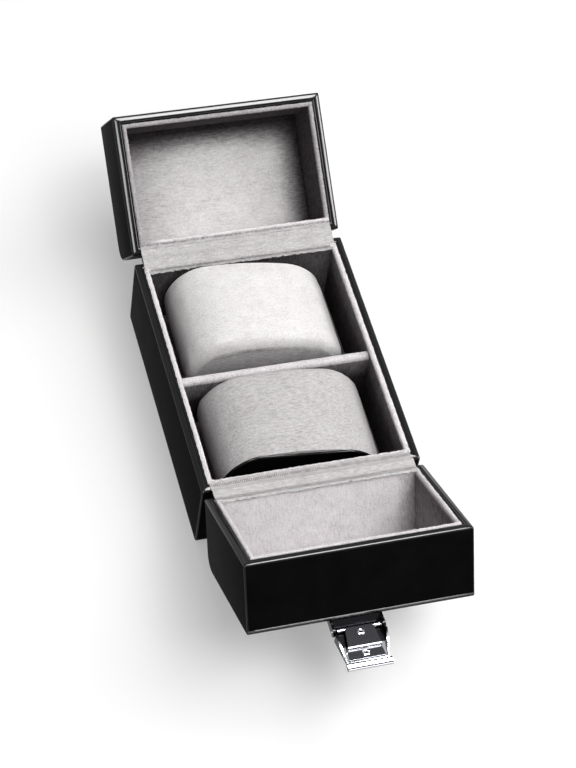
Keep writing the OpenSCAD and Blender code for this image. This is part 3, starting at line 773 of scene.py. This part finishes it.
# The fold on top is painted lit, and the sides are painted in shade that lightens a little upwards.
done(divider, wall_velvet, "case_body", ["divider_velvet"],
     painted_light=lambda p: max(min(0.82, (p.z - FOLD_FROM) / 0.8), min(0.2, (p.z - SHADE_FROM) / 50)))

# %% [markdown]
# Two strips of cloth cross each hinge: velvet inside and leather outside. Each starts as a flat
# strip that lies on the body. Its free edge is spun round the hinge pin and then drawn out along
# the open lid, and Solidify gives the cloth its thickness. Both strips are made at the back hinge,
# and the front one's are turned round afterwards.

# %% Strip helpers
STRIP_X = HINGE_X - 0.2                 # half of a strip's length


def round_pin(degrees, radius):
    """A place round the back hinge pin, in millimetres."""
    turn = math.radians(degrees)
    return Vector((0, HINGE_Y + radius * math.cos(turn), HINGE_Z + radius * math.sin(turn)))


def on_open_lid(y, z, lid):
    """Turns a place beside the pin over from the body to the open lid."""
    turn = math.radians(-OPEN_ANGLE[lid])
    return Vector((0, HINGE_Y + y * math.cos(turn) + z * math.sin(turn),
                   HINGE_Z + y * math.sin(turn) - z * math.cos(turn)))


def pick_edge_at(place):
    return pick("EDGE", lambda p: all((v.yz - place.yz).length < NEAR for v in p))


def draw_out(path):
    """Extrudes the edge at the first place through the others."""
    for here, there in zip(path, path[1:]):
        pick_edge_at(here)
        push(y=there.y - here.y, z=there.z - here.z)


def spun_strip(name, first, start, end, radius, steps):
    """Makes a flat strip from a place to the barrel and spins it round the pin."""
    bpy.ops.object.select_all(action="DESELECT")
    bpy.ops.mesh.primitive_plane_add(size=2)
    piece = named(name)
    to_mode("EDIT")
    near = round_pin(start, radius)
    mesh = bmesh.from_edit_mesh(piece.data)
    for point in mesh.verts:
        place = first if point.co.y < 0 else near
        point.co = Vector((math.copysign(STRIP_X, point.co.x), place.y, place.z)) * MM
    bmesh.update_edit_mesh(piece.data)
    pick_edge_at(near)
    bpy.ops.mesh.spin(steps=steps, angle=math.radians(end - start),
                      center=(0, HINGE_Y * MM, HINGE_Z * MM), axis=(-1, 0, 0))
    return piece


def thicken(piece, thickness, outward, *divisions):
    """Cuts a strip's long edges, then the pieces over 5 mm again, and gives it thickness."""
    for length, parts in zip((90, 5), divisions):
        pick("EDGE", lambda p: abs(p[0].x - p[1].x) > length)
        bpy.ops.mesh.subdivide(number_cuts=parts - 1)
    pick_all()
    mesh = bmesh.from_edit_mesh(piece.data)
    mesh.normal_update()
    first = min(mesh.faces, key=lambda f: f.calc_center_median().y)
    if first.normal.dot(Vector(outward)) < 0:
        bpy.ops.mesh.flip_normals()
    to_mode("OBJECT")
    add_modifier(piece, "SOLIDIFY", thickness=thickness * MM, offset=-1)


def to_own_hinge(piece, lid):
    if lid == "front":
        piece.data.transform(Matrix.Rotation(math.pi, 4, "Z"))


def bend_between(lid, start, end):
    """Gives the body, the lid and two places by the pin, for a strip that runs between them."""
    sign = -1 if lid == "front" else 1
    return ("case_body", lid + "_lid", *[Vector((0, sign * p.y, p.z)) * MM for p in (start, end)])


print("hinge strips:", round(2 * STRIP_X, 2), "mm long")

# %% [markdown]
# The velvet strip lies on both rims, with a hump over the barrel. Sewing and folding have pressed
# creases into its flats. Some are rows of stitches, which are dark at every second length that the
# strip is cut into. Its long edges are frayed.

# %% Velvet strips
RIM_SHIFT = RIM_GAP / 2                 # a rim plane lies this far below the pin's middle
HUMP_R = 1.8                            # radius of the velvet's outer face over the barrel
STRIP_T = 0.36                          # mm, how thick the velvet strip is
# How lit the strip is painted, in part shade.
STRIP_LIGHT = 0.76
FRAY, FRAY_W = 0.6, 0.8                 # mm that a long edge is frayed, and how far in
STITCHES = 225                          # lengths that a strip is cut into, two to each stitch
RISE_FROM = 4.2                         # from the pin to where the strip lifts off the rim
REACH = {"back": (10.1, 7.0), "front": (7.2, 9.8)}   # from the pin, on the body and on the lid
CREASES = {             # share of the flat from its first end, mm that it sinks, how lit it is painted, if dotted
    "back": (((0.32, 0.25, 0.0, False), (0.65, 0.1, 0.6, False)),
             ((0.15, 0.1, 0.45, False), (0.75, 0.15, 0.2, False))),
    "front": (((0.65, 0.1, 0.0, True), (0.95, 0.1, 0.0, True)),
              ((0.15, 0.1, 0.0, True), (0.4, 0.1, 0.0, True), (0.78, -0.5, 1.0, False))),
}
CREASE_W = 0.45                         # from the bottom of a crease to its sides


def velvet_strip(lid):
    start, end = 150, 210 - OPEN_ANGLE[lid]
    rim_from = Vector((0, HINGE_Y - REACH[lid][0], BODY_H))
    lift_off = Vector((0, HINGE_Y - RISE_FROM, BODY_H))
    land = on_open_lid(-RISE_FROM, -RIM_SHIFT, lid)
    rim_to = on_open_lid(-REACH[lid][1], -RIM_SHIFT, lid)
    strip = spun_strip(lid + "_hinge_velvet", lift_off, start, end, HUMP_R, 8)
    draw_out([round_pin(end, HUMP_R), land, rim_to])
    draw_out([lift_off, rim_from])
    for kink in (lift_off, land):
        pick_edge_at(kink)
        bevel(0.9, 3)
    creased = []
    for (a, b), creases in zip(((rim_from, lift_off), (land, rim_to)), CREASES[lid]):
        along = (b - a).normalized()
        for share, sink, crease_light, dotted in creases:
            crease = a.lerp(b, share)
            for beside in (-CREASE_W, 0, CREASE_W):
                pick_all()
                bpy.ops.mesh.bisect(plane_co=(crease + along * beside) * MM, plane_no=along)
            pick_edge_at(crease)
            move(y=along.z * sink, z=-along.y * sink)
            creased.append((crease, crease_light, dotted))
    thicken(strip, STRIP_T, (0, 0, 1), 15, STITCHES // 15)

    def strip_painted_light(p):
        """Painted shade in the creases, and dark in every second stitch of a dotted row."""
        painted_light = STRIP_LIGHT
        stitch = round((p.x + STRIP_X) / (2 * STRIP_X) * STITCHES)
        for crease, crease_light, dotted in creased:
            off = math.hypot(abs(p.y) - crease.y, p.z - crease.z)
            if not (dotted and stitch % 2):
                painted_light = min(painted_light, crease_light + off)
        return painted_light

    roughen(strip, lambda p: True, 0.12, 1.3)
    roughen(strip, lambda p: min((Vector((0, p.y, p.z)) - edge).length
                                 for edge in (rim_from, rim_to)) < FRAY_W, FRAY, 1.1)
    to_own_hinge(strip, lid)
    done(strip, panel_velvet, bend_between(lid, lift_off, land),
         [lid + "_hinge_lining"], smooth=70, painted_light=strip_painted_light)


# %% [markdown]
# The leather spine covers the hinge from outside. It runs round the barrel and down both outer
# walls, where it is glued on. It is spun in the same way, the long way round the pin.

# %% Leather spines
SPINE_R = 1.4                           # radius of the leather's inner face over the barrel
SPINE_T = 0.45                          # mm, how thick the leather is
SPINE_FLAP = 9.0                        # mm from the barrel down to the end of a glued flap
TO_WALL = 2.0                           # from the pin to the outer wall face


def leather_spine(lid):
    start, end = 270, 450 - OPEN_ANGLE[lid]
    outside = SPINE_R + SPINE_T
    wall_top = Vector((0, HINGE_Y - TO_WALL, HINGE_Z - SPINE_R))
    spine = spun_strip(lid + "_leather_spine", wall_top, start, end, outside, 6)
    draw_out([round_pin(end, outside), on_open_lid(SPINE_T - TO_WALL, -SPINE_R - SPINE_T, lid),
              on_open_lid(SPINE_T - TO_WALL, -SPINE_R - SPINE_FLAP, lid)])
    pick("VERT", lambda p: (p[0].yz - wall_top.yz).length < NEAR)
    move(y=SPINE_T, z=-SPINE_T)
    moved = wall_top + Vector((0, SPINE_T, -SPINE_T))
    draw_out([moved, moved - Vector((0, 0, SPINE_FLAP - SPINE_T))])
    thicken(spine, SPINE_T, (0, 1, 0), 31)
    to_own_hinge(spine, lid)
    done(spine, case_leather,
         bend_between(lid, round_pin(start, SPINE_R), round_pin(end, SPINE_R)),
         [lid + "_spine"], smooth=60)


for lid in OPEN_ANGLE:
    velvet_strip(lid)
    leather_spine(lid)

# %% [markdown]
# Each cushion is a foam pad in a velvet sleeve, with a leather panel and piping at its outer end.
# A cylinder is laid down and its two halves are drawn apart, which gives the flattened round
# section. The pads lean to one side, as the straps that they carry pull them over.

# %% Pad helpers
PAD_R, PAD_FLAT = 19.0, 45.0            # radius of its round sides, and the flat between them
PAD_FROM, PAD_TO = 7.2, 60.2            # along Y, from the velvet end to the leather end
PAD_Z, PAD_LOW = 25.2, 6.2              # heights of its middle and of its underside
LEAN = {"back": (0.15, 0.15), "front": (0.08, 0.14)}     # at the velvet end, at the leather end
CROWN = 6.0                             # mm, how much lower a pad's top is at its sides
STUFFING = {"back": (1.6, 3.2), "front": (3.2, 1.0)}     # mm that each end's top is stuffed up
PIPE_R = 0.8                            # radius of the piping


def drawn_apart(piece):
    """Draws the two halves of a round piece apart, and leaves it open for editing."""
    bpy.ops.object.transform_apply(location=True, rotation=True, scale=True)
    to_mode("EDIT")
    pick("VERT", lambda p: p[0].x > 0)
    move(x=PAD_FLAT / 2)
    pick("VERT", lambda p: p[0].x < 0)
    move(x=-PAD_FLAT / 2)


def pill(name, radius, y_from, y_to, sides=64):
    """Adds a solid with a pad's section and another radius, between two places along Y."""
    bpy.ops.object.select_all(action="DESELECT")
    bpy.ops.mesh.primitive_cylinder_add(
        vertices=sides, radius=radius * MM, depth=(y_to - y_from) * MM,
        location=(0, (y_from + y_to) / 2 * MM, PAD_Z * MM),
        rotation=(math.pi / 2, math.pi / sides, 0))
    piece = named(name)
    drawn_apart(piece)
    return piece


def between(ends, along):
    """Goes evenly from the first value to the second."""
    return ends[0] + (ends[1] - ends[0]) * along


def lean_over(piece, lid):
    """Crowns a cushion's piece and shears it to one side, more with its height over the floor."""
    for point in piece.data.vertices:
        p = point.co / MM
        rise = clamp((p.z - PAD_LOW) / (2 * PAD_R))
        along = (abs(p.y) - PAD_FROM) / (PAD_TO - PAD_FROM)
        lean = between(LEAN[lid], along) * p.x
        crown = CROWN * (p.x / (PAD_R + PAD_FLAT / 2)) ** 2
        lift = between(STUFFING[lid], along)
        point.co.z = max(PAD_LOW, p.z + (lift - lean - crown) * rise) * MM


print("pad:", 2 * PAD_R + PAD_FLAT, "x", round(PAD_TO - PAD_FROM, 1), "x", 2 * PAD_R, "mm")

# %% [markdown]
# A sleeve is stuffed until it swells. Cloth blows the mesh up a little from inside, as the
# stuffing does, and a cap on how far each point moves keeps the pad within its room.

# %% Stuffing
SWELL = 3.0                             # mm, the furthest that a point may move
SQUARE = 4                              # mm, the size of the squares that Cloth works on
FITTED = 11                             # mm of the sleeve that the piping draws in
SEAM = (1.0, 1.7)                       # mm from the velvet end, between which its shade begins


def inflate(piece):
    """Blows a closed mesh up with Cloth and caps how far its points move."""
    before = [point.co.copy() for point in piece.data.vertices]
    cloth = piece.modifiers.new("Cloth", "CLOTH")
    cloth.settings.use_pressure = True
    cloth.settings.uniform_pressure_force = 4
    cloth.settings.effector_weights.gravity = 0
    cloth.settings.mass = 0.3
    for number in range(1, 21):
        bpy.context.scene.frame_set(number)
    bpy.ops.object.modifier_apply(modifier=cloth.name)
    bpy.context.scene.frame_set(1)
    for point, old in zip(piece.data.vertices, before):
        step = point.co - old
        if step.length > SWELL * MM:
            point.co = old + step.normalized() * SWELL * MM


# %% [markdown]
# The sleeve is a pad that is remeshed into even squares, because Cloth needs them, and blown up.
# Then it is drawn to the piping's size where it is sewn on, and its outer end is cut flat for the
# leather panel.

# %% Stuffed sleeve
def fit_to_piping(piece):
    """Draws the sleeve's section to one even size where it is sewn to the piping."""
    for point in piece.data.vertices:
        p = point.co / MM
        side = math.copysign(min(abs(p.x), PAD_FLAT / 2), p.x)
        spoke = Vector((p.x - side, 0, p.z - PAD_Z))
        share = clamp((p.y - PAD_TO + FITTED) / (FITTED - 2)) ** 2
        if spoke.length > PAD_R - 6:
            spoke *= 1 + share * ((PAD_R - 0.15) / spoke.length - 1)
            point.co = Vector((side + spoke.x, p.y, PAD_Z + spoke.z)) * MM


def pad_sleeve(name):
    """Makes the stuffed sleeve of a cushion, with its outer end cut flat."""
    piece = pill(name, PAD_R + 0.7, PAD_FROM + 1.4, PAD_TO + 9)
    pick("FACE", at(Y, PAD_FROM + 1.4))
    bevel(2.0, 3)
    to_mode("OBJECT")
    add_modifier(piece, "REMESH", mode="VOXEL", voxel_size=SQUARE * MM)
    inflate(piece)
    add_modifier(piece, "SUBSURF", levels=1, render_levels=1)
    for point in piece.data.vertices:
        point.co.y = max(point.co.y, PAD_FROM * MM)
        point.co.z = max(point.co.z, PAD_LOW * MM)
    middle = [point.co / MM for point in piece.data.vertices if abs(point.co.y / MM - 30) < 6]
    print(name, "swells to", round(max(p.x for p in middle), 2), "wide and",
          round(max(p.z for p in middle), 2), "high")
    fit_to_piping(piece)
    select_only(piece)
    to_mode("EDIT")
    for seam in SEAM:
        cut(Y, PAD_FROM + seam)
    pick_all()
    bpy.ops.mesh.bisect(plane_co=(0, (PAD_TO - 1.4 * PIPE_R) * MM, 0), plane_no=(0, 1, 0),
                        use_fill=True, clear_outer=True)
    to_mode("OBJECT")
    return piece


# %% [markdown]
# The foam core, the leather end panel and the piping are made in the same way, without Cloth: the
# panel swells out in steps, as leather over wadding does, and the piping is a torus that is drawn
# apart. Every piece is made at the back, turned to its own side and then leant over.

# %% Cushions
CUSHION_LIGHT = {"back": 1.0, "front": 0.65}  # how lit each sleeve is painted; the front one is darker, as painted shadow
CORE_IN = 6                             # mm, how much smaller the foam is than the pad
PANEL_Y = PAD_TO - 1.2 * PIPE_R         # the leather's face, a little inside the piping
WADDING = [(2.0, 0.25), (4.0, 0.2), (5.0, 0.1)]          # its swell: how far in, and how far out


def settle(piece, lid, finish, slot, *stands_for, painted_light=1, smooth=40):
    """Turns a piece to its own side, leans it over and hands it in with its cushion."""
    if piece.mode == "EDIT":
        to_mode("OBJECT")
    to_own_hinge(piece, lid)
    lean_over(piece, lid)
    cushion = lid + "_cushion"
    done(piece, finish, cushion, [f"{cushion}_{part}" for part in stands_for], painted_light=painted_light,
         smooth=smooth)


for lid in OPEN_ANGLE:
    def sleeve_painted_light(p):
        """Painted shade on the velvet end, a little lighter towards its foot."""
        off_end = abs(p.y) - PAD_FROM
        return max(CUSHION_LIGHT[lid] * min(1.0, (off_end - SEAM[0]) / (SEAM[1] - SEAM[0])),
                   min(0.6, (42.5 - p.z) / 8), 0)

    sleeve = pad_sleeve(lid + "_cushion_sleeve")
    settle(sleeve, lid, cushion_velvet, "cushion_velvet", "wrap", "velvet_end", painted_light=sleeve_painted_light,
           smooth=80)

    core = pill(lid + "_cushion_core", PAD_R - CORE_IN, PAD_FROM + 7, PAD_TO - 5)
    settle(core, lid, foam, "foam", "foam")

    end_panel = pill(lid + "_cushion_end_panel", PAD_R - 1.0, PAD_TO - 2 * PIPE_R - 0.6, PANEL_Y)
    pick("FACE", at(Y, PANEL_Y))
    rings(WADDING)
    settle(end_panel, lid, case_leather, "leather", "leather_end")

    bpy.ops.object.select_all(action="DESELECT")
    bpy.ops.mesh.primitive_torus_add(
        major_segments=64, minor_segments=12, major_radius=(PAD_R - PIPE_R) * MM,
        minor_radius=PIPE_R * MM, location=(0, (PAD_TO - PIPE_R) * MM, PAD_Z * MM),
        rotation=(math.pi / 2, math.pi / 64, 0))
    piping = named(lid + "_cushion_cord")
    drawn_apart(piping)
    settle(piping, lid, edge_leather, "leather", "piping")

# %% [markdown]
# The latch and its catch are pressed from sheet steel, so no edge is truly sharp: the shears and
# the polishing leave a small round that catches the light as a bright line. The frame has the
# right shape, so each piece starts as a copy of its solid. The copy is merged and its flat faces
# are joined, and then every edge is eased with a bevel.

# %% Latch and catch
METAL_PIECES = {        # solid: name of its piece, body, mm that its edges are eased by, finish
    # The base plate is painted near-black, as shade under the lid.
    "latch_base": ("latch_base_plate", "front_lid", 0.16, painted_shade_metal),
    "latch_base_rivets": ("latch_base_rivet_heads", "front_lid", 0, chrome),
    "latch_pin": ("latch_cross_pin", "front_lid", 0.12, chrome),
    "latch_lever": ("latch_lever_shell", "latch", 0.16, chrome),
    "latch_tongue": ("latch_spring_tongue", "latch", 0.14, spring_steel_painted_dark),
    "lever_rivets": ("lever_rivet_heads", "latch", 0, chrome),
    "catch_plate": ("catch_plate_bead", "back_lid", 0.16, chrome),
    "catch_rivets": ("catch_rivet_heads", "back_lid", 0, chrome),
}
LATCH_X = -3            # the latch hangs a little left of the middle
ROLL_FROM, ROLL_OUT = -180.3, 0.9       # the rolled end's Y, and how many mm fuller it is
LEVER_SHADE_FROM = -169.5                     # Y from which the lever is painted near-black, as shade, up to the pin
LEVER_RIVETS = {-164.02: 48.29, -174.17: 46.26}          # Y and Z of the middles of its heads
DISHED, DISH = (1.0, 0.75, 0.5), 0.16   # mm: rings of a head that are sunk, and how deep each is
FOOT_Y, FOOT_Z = (-157.7, -156.6), (43.8, 44.6)          # where the base plate's foot ends
FOOT_SHADE_OUT = 1.5                          # mm that the dark foot is pushed out, as painted shade over the gap under it


def off_rivet(p, y):
    """How far a place is, seen from above, from the middle of the rivet head at y."""
    return math.hypot(p.x - LATCH_X, p.y - y)


def polished_copy(node, name, ease):
    """Copies a solid of the frame, joins its flat faces and eases its edges."""
    piece = bpy.data.objects.new(name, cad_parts[node].data.copy())
    bpy.context.scene.collection.objects.link(piece)
    select_only(piece)
    to_mode("EDIT")
    pick_all()
    bpy.ops.mesh.remove_doubles(threshold=0.002 * MM)
    bpy.ops.mesh.dissolve_limited(angle_limit=math.radians(1))
    if node == "latch_lever":
        cut(Y, LEVER_SHADE_FROM)
        pick("VERT", lambda p: p[0].y < ROLL_FROM)
        move(y=-ROLL_OUT)
    # The base plate's dark foot is pushed out over the shaded gap below it.
    if node == "latch_base":
        pick("VERT", lambda p: FOOT_Y[0] < p[0].y < FOOT_Y[1] and FOOT_Z[0] < p[0].z < FOOT_Z[1])
        move(y=-FOOT_SHADE_OUT)
    if node == "lever_rivets":
        for y, top in LEVER_RIVETS.items():
            for radius in DISHED:
                pick("VERT", lambda p: p[0].z > top - 0.4 and off_rivet(p[0], y) < radius)
                move(z=-DISH)
    to_mode("OBJECT")
    if ease:
        add_modifier(piece, "BEVEL", width=ease * MM, segments=2, limit_method="ANGLE",
                     angle_limit=math.radians(32))
    return piece


# %% [markdown]
# Some faces have another metal than their piece. The tongue's step is bare chrome. Near the pin and
# at its sides the lever is painted near-black, as shade and dark reflection, a painted dark
# reflection runs along its rolled end, and the middles of its rivets are painted dark, as the
# reflection in their dish. Each piece carries three metals, and a rule per piece picks one by
# number.

# %% Metal pieces
ROLL_REFLECTION_FROM = -178        # Y below which the rolled end has its painted dark reflection
LINE_LEAN = (-0.82, -0.56)              # the Y of that line's normals lies between these
HEAD_REFLECTION_R = 0.62        # radius of a rivet head's middle that is painted dark, as a reflection


def lever_metal(face):
    """Picks the near-black metal near the pin and at the sides, as painted shade and reflection,
    and the dark steel for the painted reflection on the rolled end.
    """
    y = face.center.y / MM
    if y > LEVER_SHADE_FROM or abs(face.normal.x) > 0.9:
        return 1
    return 2 if y < ROLL_REFLECTION_FROM and LINE_LEAN[0] < face.normal.y < LINE_LEAN[1] else 0


def head_metal(face):
    """Picks the near-black metal in the middles of the rivet heads, as a painted reflection."""
    return min(off_rivet(face.center / MM, y) for y in LEVER_RIVETS) < HEAD_REFLECTION_R


METAL_RULES = {
    "latch_tongue": lambda face: abs(face.normal.y) > 0.4,
    "latch_lever": lever_metal,
    "lever_rivets": head_metal,
}

for node, (name, body, ease, finish) in METAL_PIECES.items():
    piece = polished_copy(node, name, ease)
    piece.data.materials.clear()
    for metal in (finish, chrome if finish == spring_steel_painted_dark else painted_shade_metal, spring_steel_painted_dark):
        piece.data.materials.append(metal)
    rule = METAL_RULES.get(node)
    for face in piece.data.polygons:
        face.material_index = int(rule(face)) if rule else 0
    done(piece, None, body, [node], smooth=18)

# %% [markdown]
# The case stands on a plain pale floor. To the camera, the floor and the world are white, and so
# they are in reflections, but the light that they give is soft and plain. The light path tells
# which ray is looking: the floor glows a little and the world goes up to white only for those.

# %% Floor and world
FLOOR_MATT = "#d6d5d5"
FLOOR_LIFT = 0.3        # how much the floor glows where it is seen
SOFT_SKY = 0.42         # the world's strength where it only lights the case


def seen(tree):
    """Gives 1 to a ray that sees, from the camera, by a reflection or through glass, else 0."""
    rays = add_node(tree, "LightPath")
    either = add_node(tree, "Math", {0: rays.outputs["Is Camera Ray"],
                                     1: rays.outputs["Is Glossy Ray"]}, operation="MAXIMUM")
    return add_node(tree, "Math", {0: either, 1: rays.outputs["Is Transmission Ray"]},
                    operation="MAXIMUM")


bpy.ops.mesh.primitive_plane_add(size=8, location=(0, 0, -0.05 * MM))
floor = bpy.context.object
floor.name = "pale_floor"
floor_paint, tree = new_material("painted_floor")
lift = add_node(tree, "Math", {0: seen(tree), 1: FLOOR_LIFT}, operation="MULTIPLY")
matt = add_node(tree, "BsdfDiffuse", {"Color": linear(FLOOR_MATT)})
glow = add_node(tree, "Emission", {"Color": linear("#ffffff"), "Strength": lift})
both = add_node(tree, "AddShader", {0: matt, 1: glow})
add_node(tree, "OutputMaterial", {"Surface": both})
floor.data.materials.append(floor_paint)

world = bpy.data.worlds.new("studio")
bpy.context.scene.world = world
world.use_nodes = True
tree = world.node_tree
tree.nodes.clear()
soft = add_node(tree, "MapRange", {"Value": seen(tree), "To Min": SOFT_SKY, "To Max": 1})
sky = add_node(tree, "Background", {"Color": linear("#ffffff"), "Strength": soft})
add_node(tree, "OutputWorld", {"Surface": sky})
bpy.context.scene.view_settings.view_transform = "Standard"
print("floor:", FLOOR_MATT, "sky:", SOFT_SKY)

# %% [markdown]
# Two soft lamps light the case: the key, from the upper right, draws the shadows, and the fill
# softens them from the front. Four smaller ones are there for reflections only. They give the
# bead, the leather's edges and the plated metal their sharp glints and add no light to the cloth.

# %% Lamps
def add_lamp(name, place, size, watts):
    """Adds a square lamp that faces the case."""
    bpy.ops.object.light_add(type="AREA", location=place)
    lamp = bpy.context.object
    lamp.name = name
    lamp.data.size, lamp.data.energy = size, watts              # metres, watts
    aim = Vector((0, 0, 0.03)) - Vector(place)
    lamp.rotation_euler = aim.to_track_quat("-Z", "Y").to_euler()
    return lamp


for name, place, size, watts in (("soft_key", (0.88, 0.14, 1.14), 1.1, 12),
                                 ("soft_fill", (0.27, -0.62, 1.24), 0.75, 10)):
    add_lamp(name, place, size, watts).visible_glossy = False

for name, place, size, watts in (("glint_over_top", (0.34, 0.11, 1.55), 0.52, 46),
                                 ("glint_at_right", (1.1, -0.42, 0.98), 0.5, 32),
                                 ("glint_at_left", (-0.52, -0.62, 1.27), 0.5, 22),
                                 ("glint_in_front", (0.21, -1.03, 0.12), 0.22, 1.2)):
    add_lamp(name, place, size, watts).visible_diffuse = False
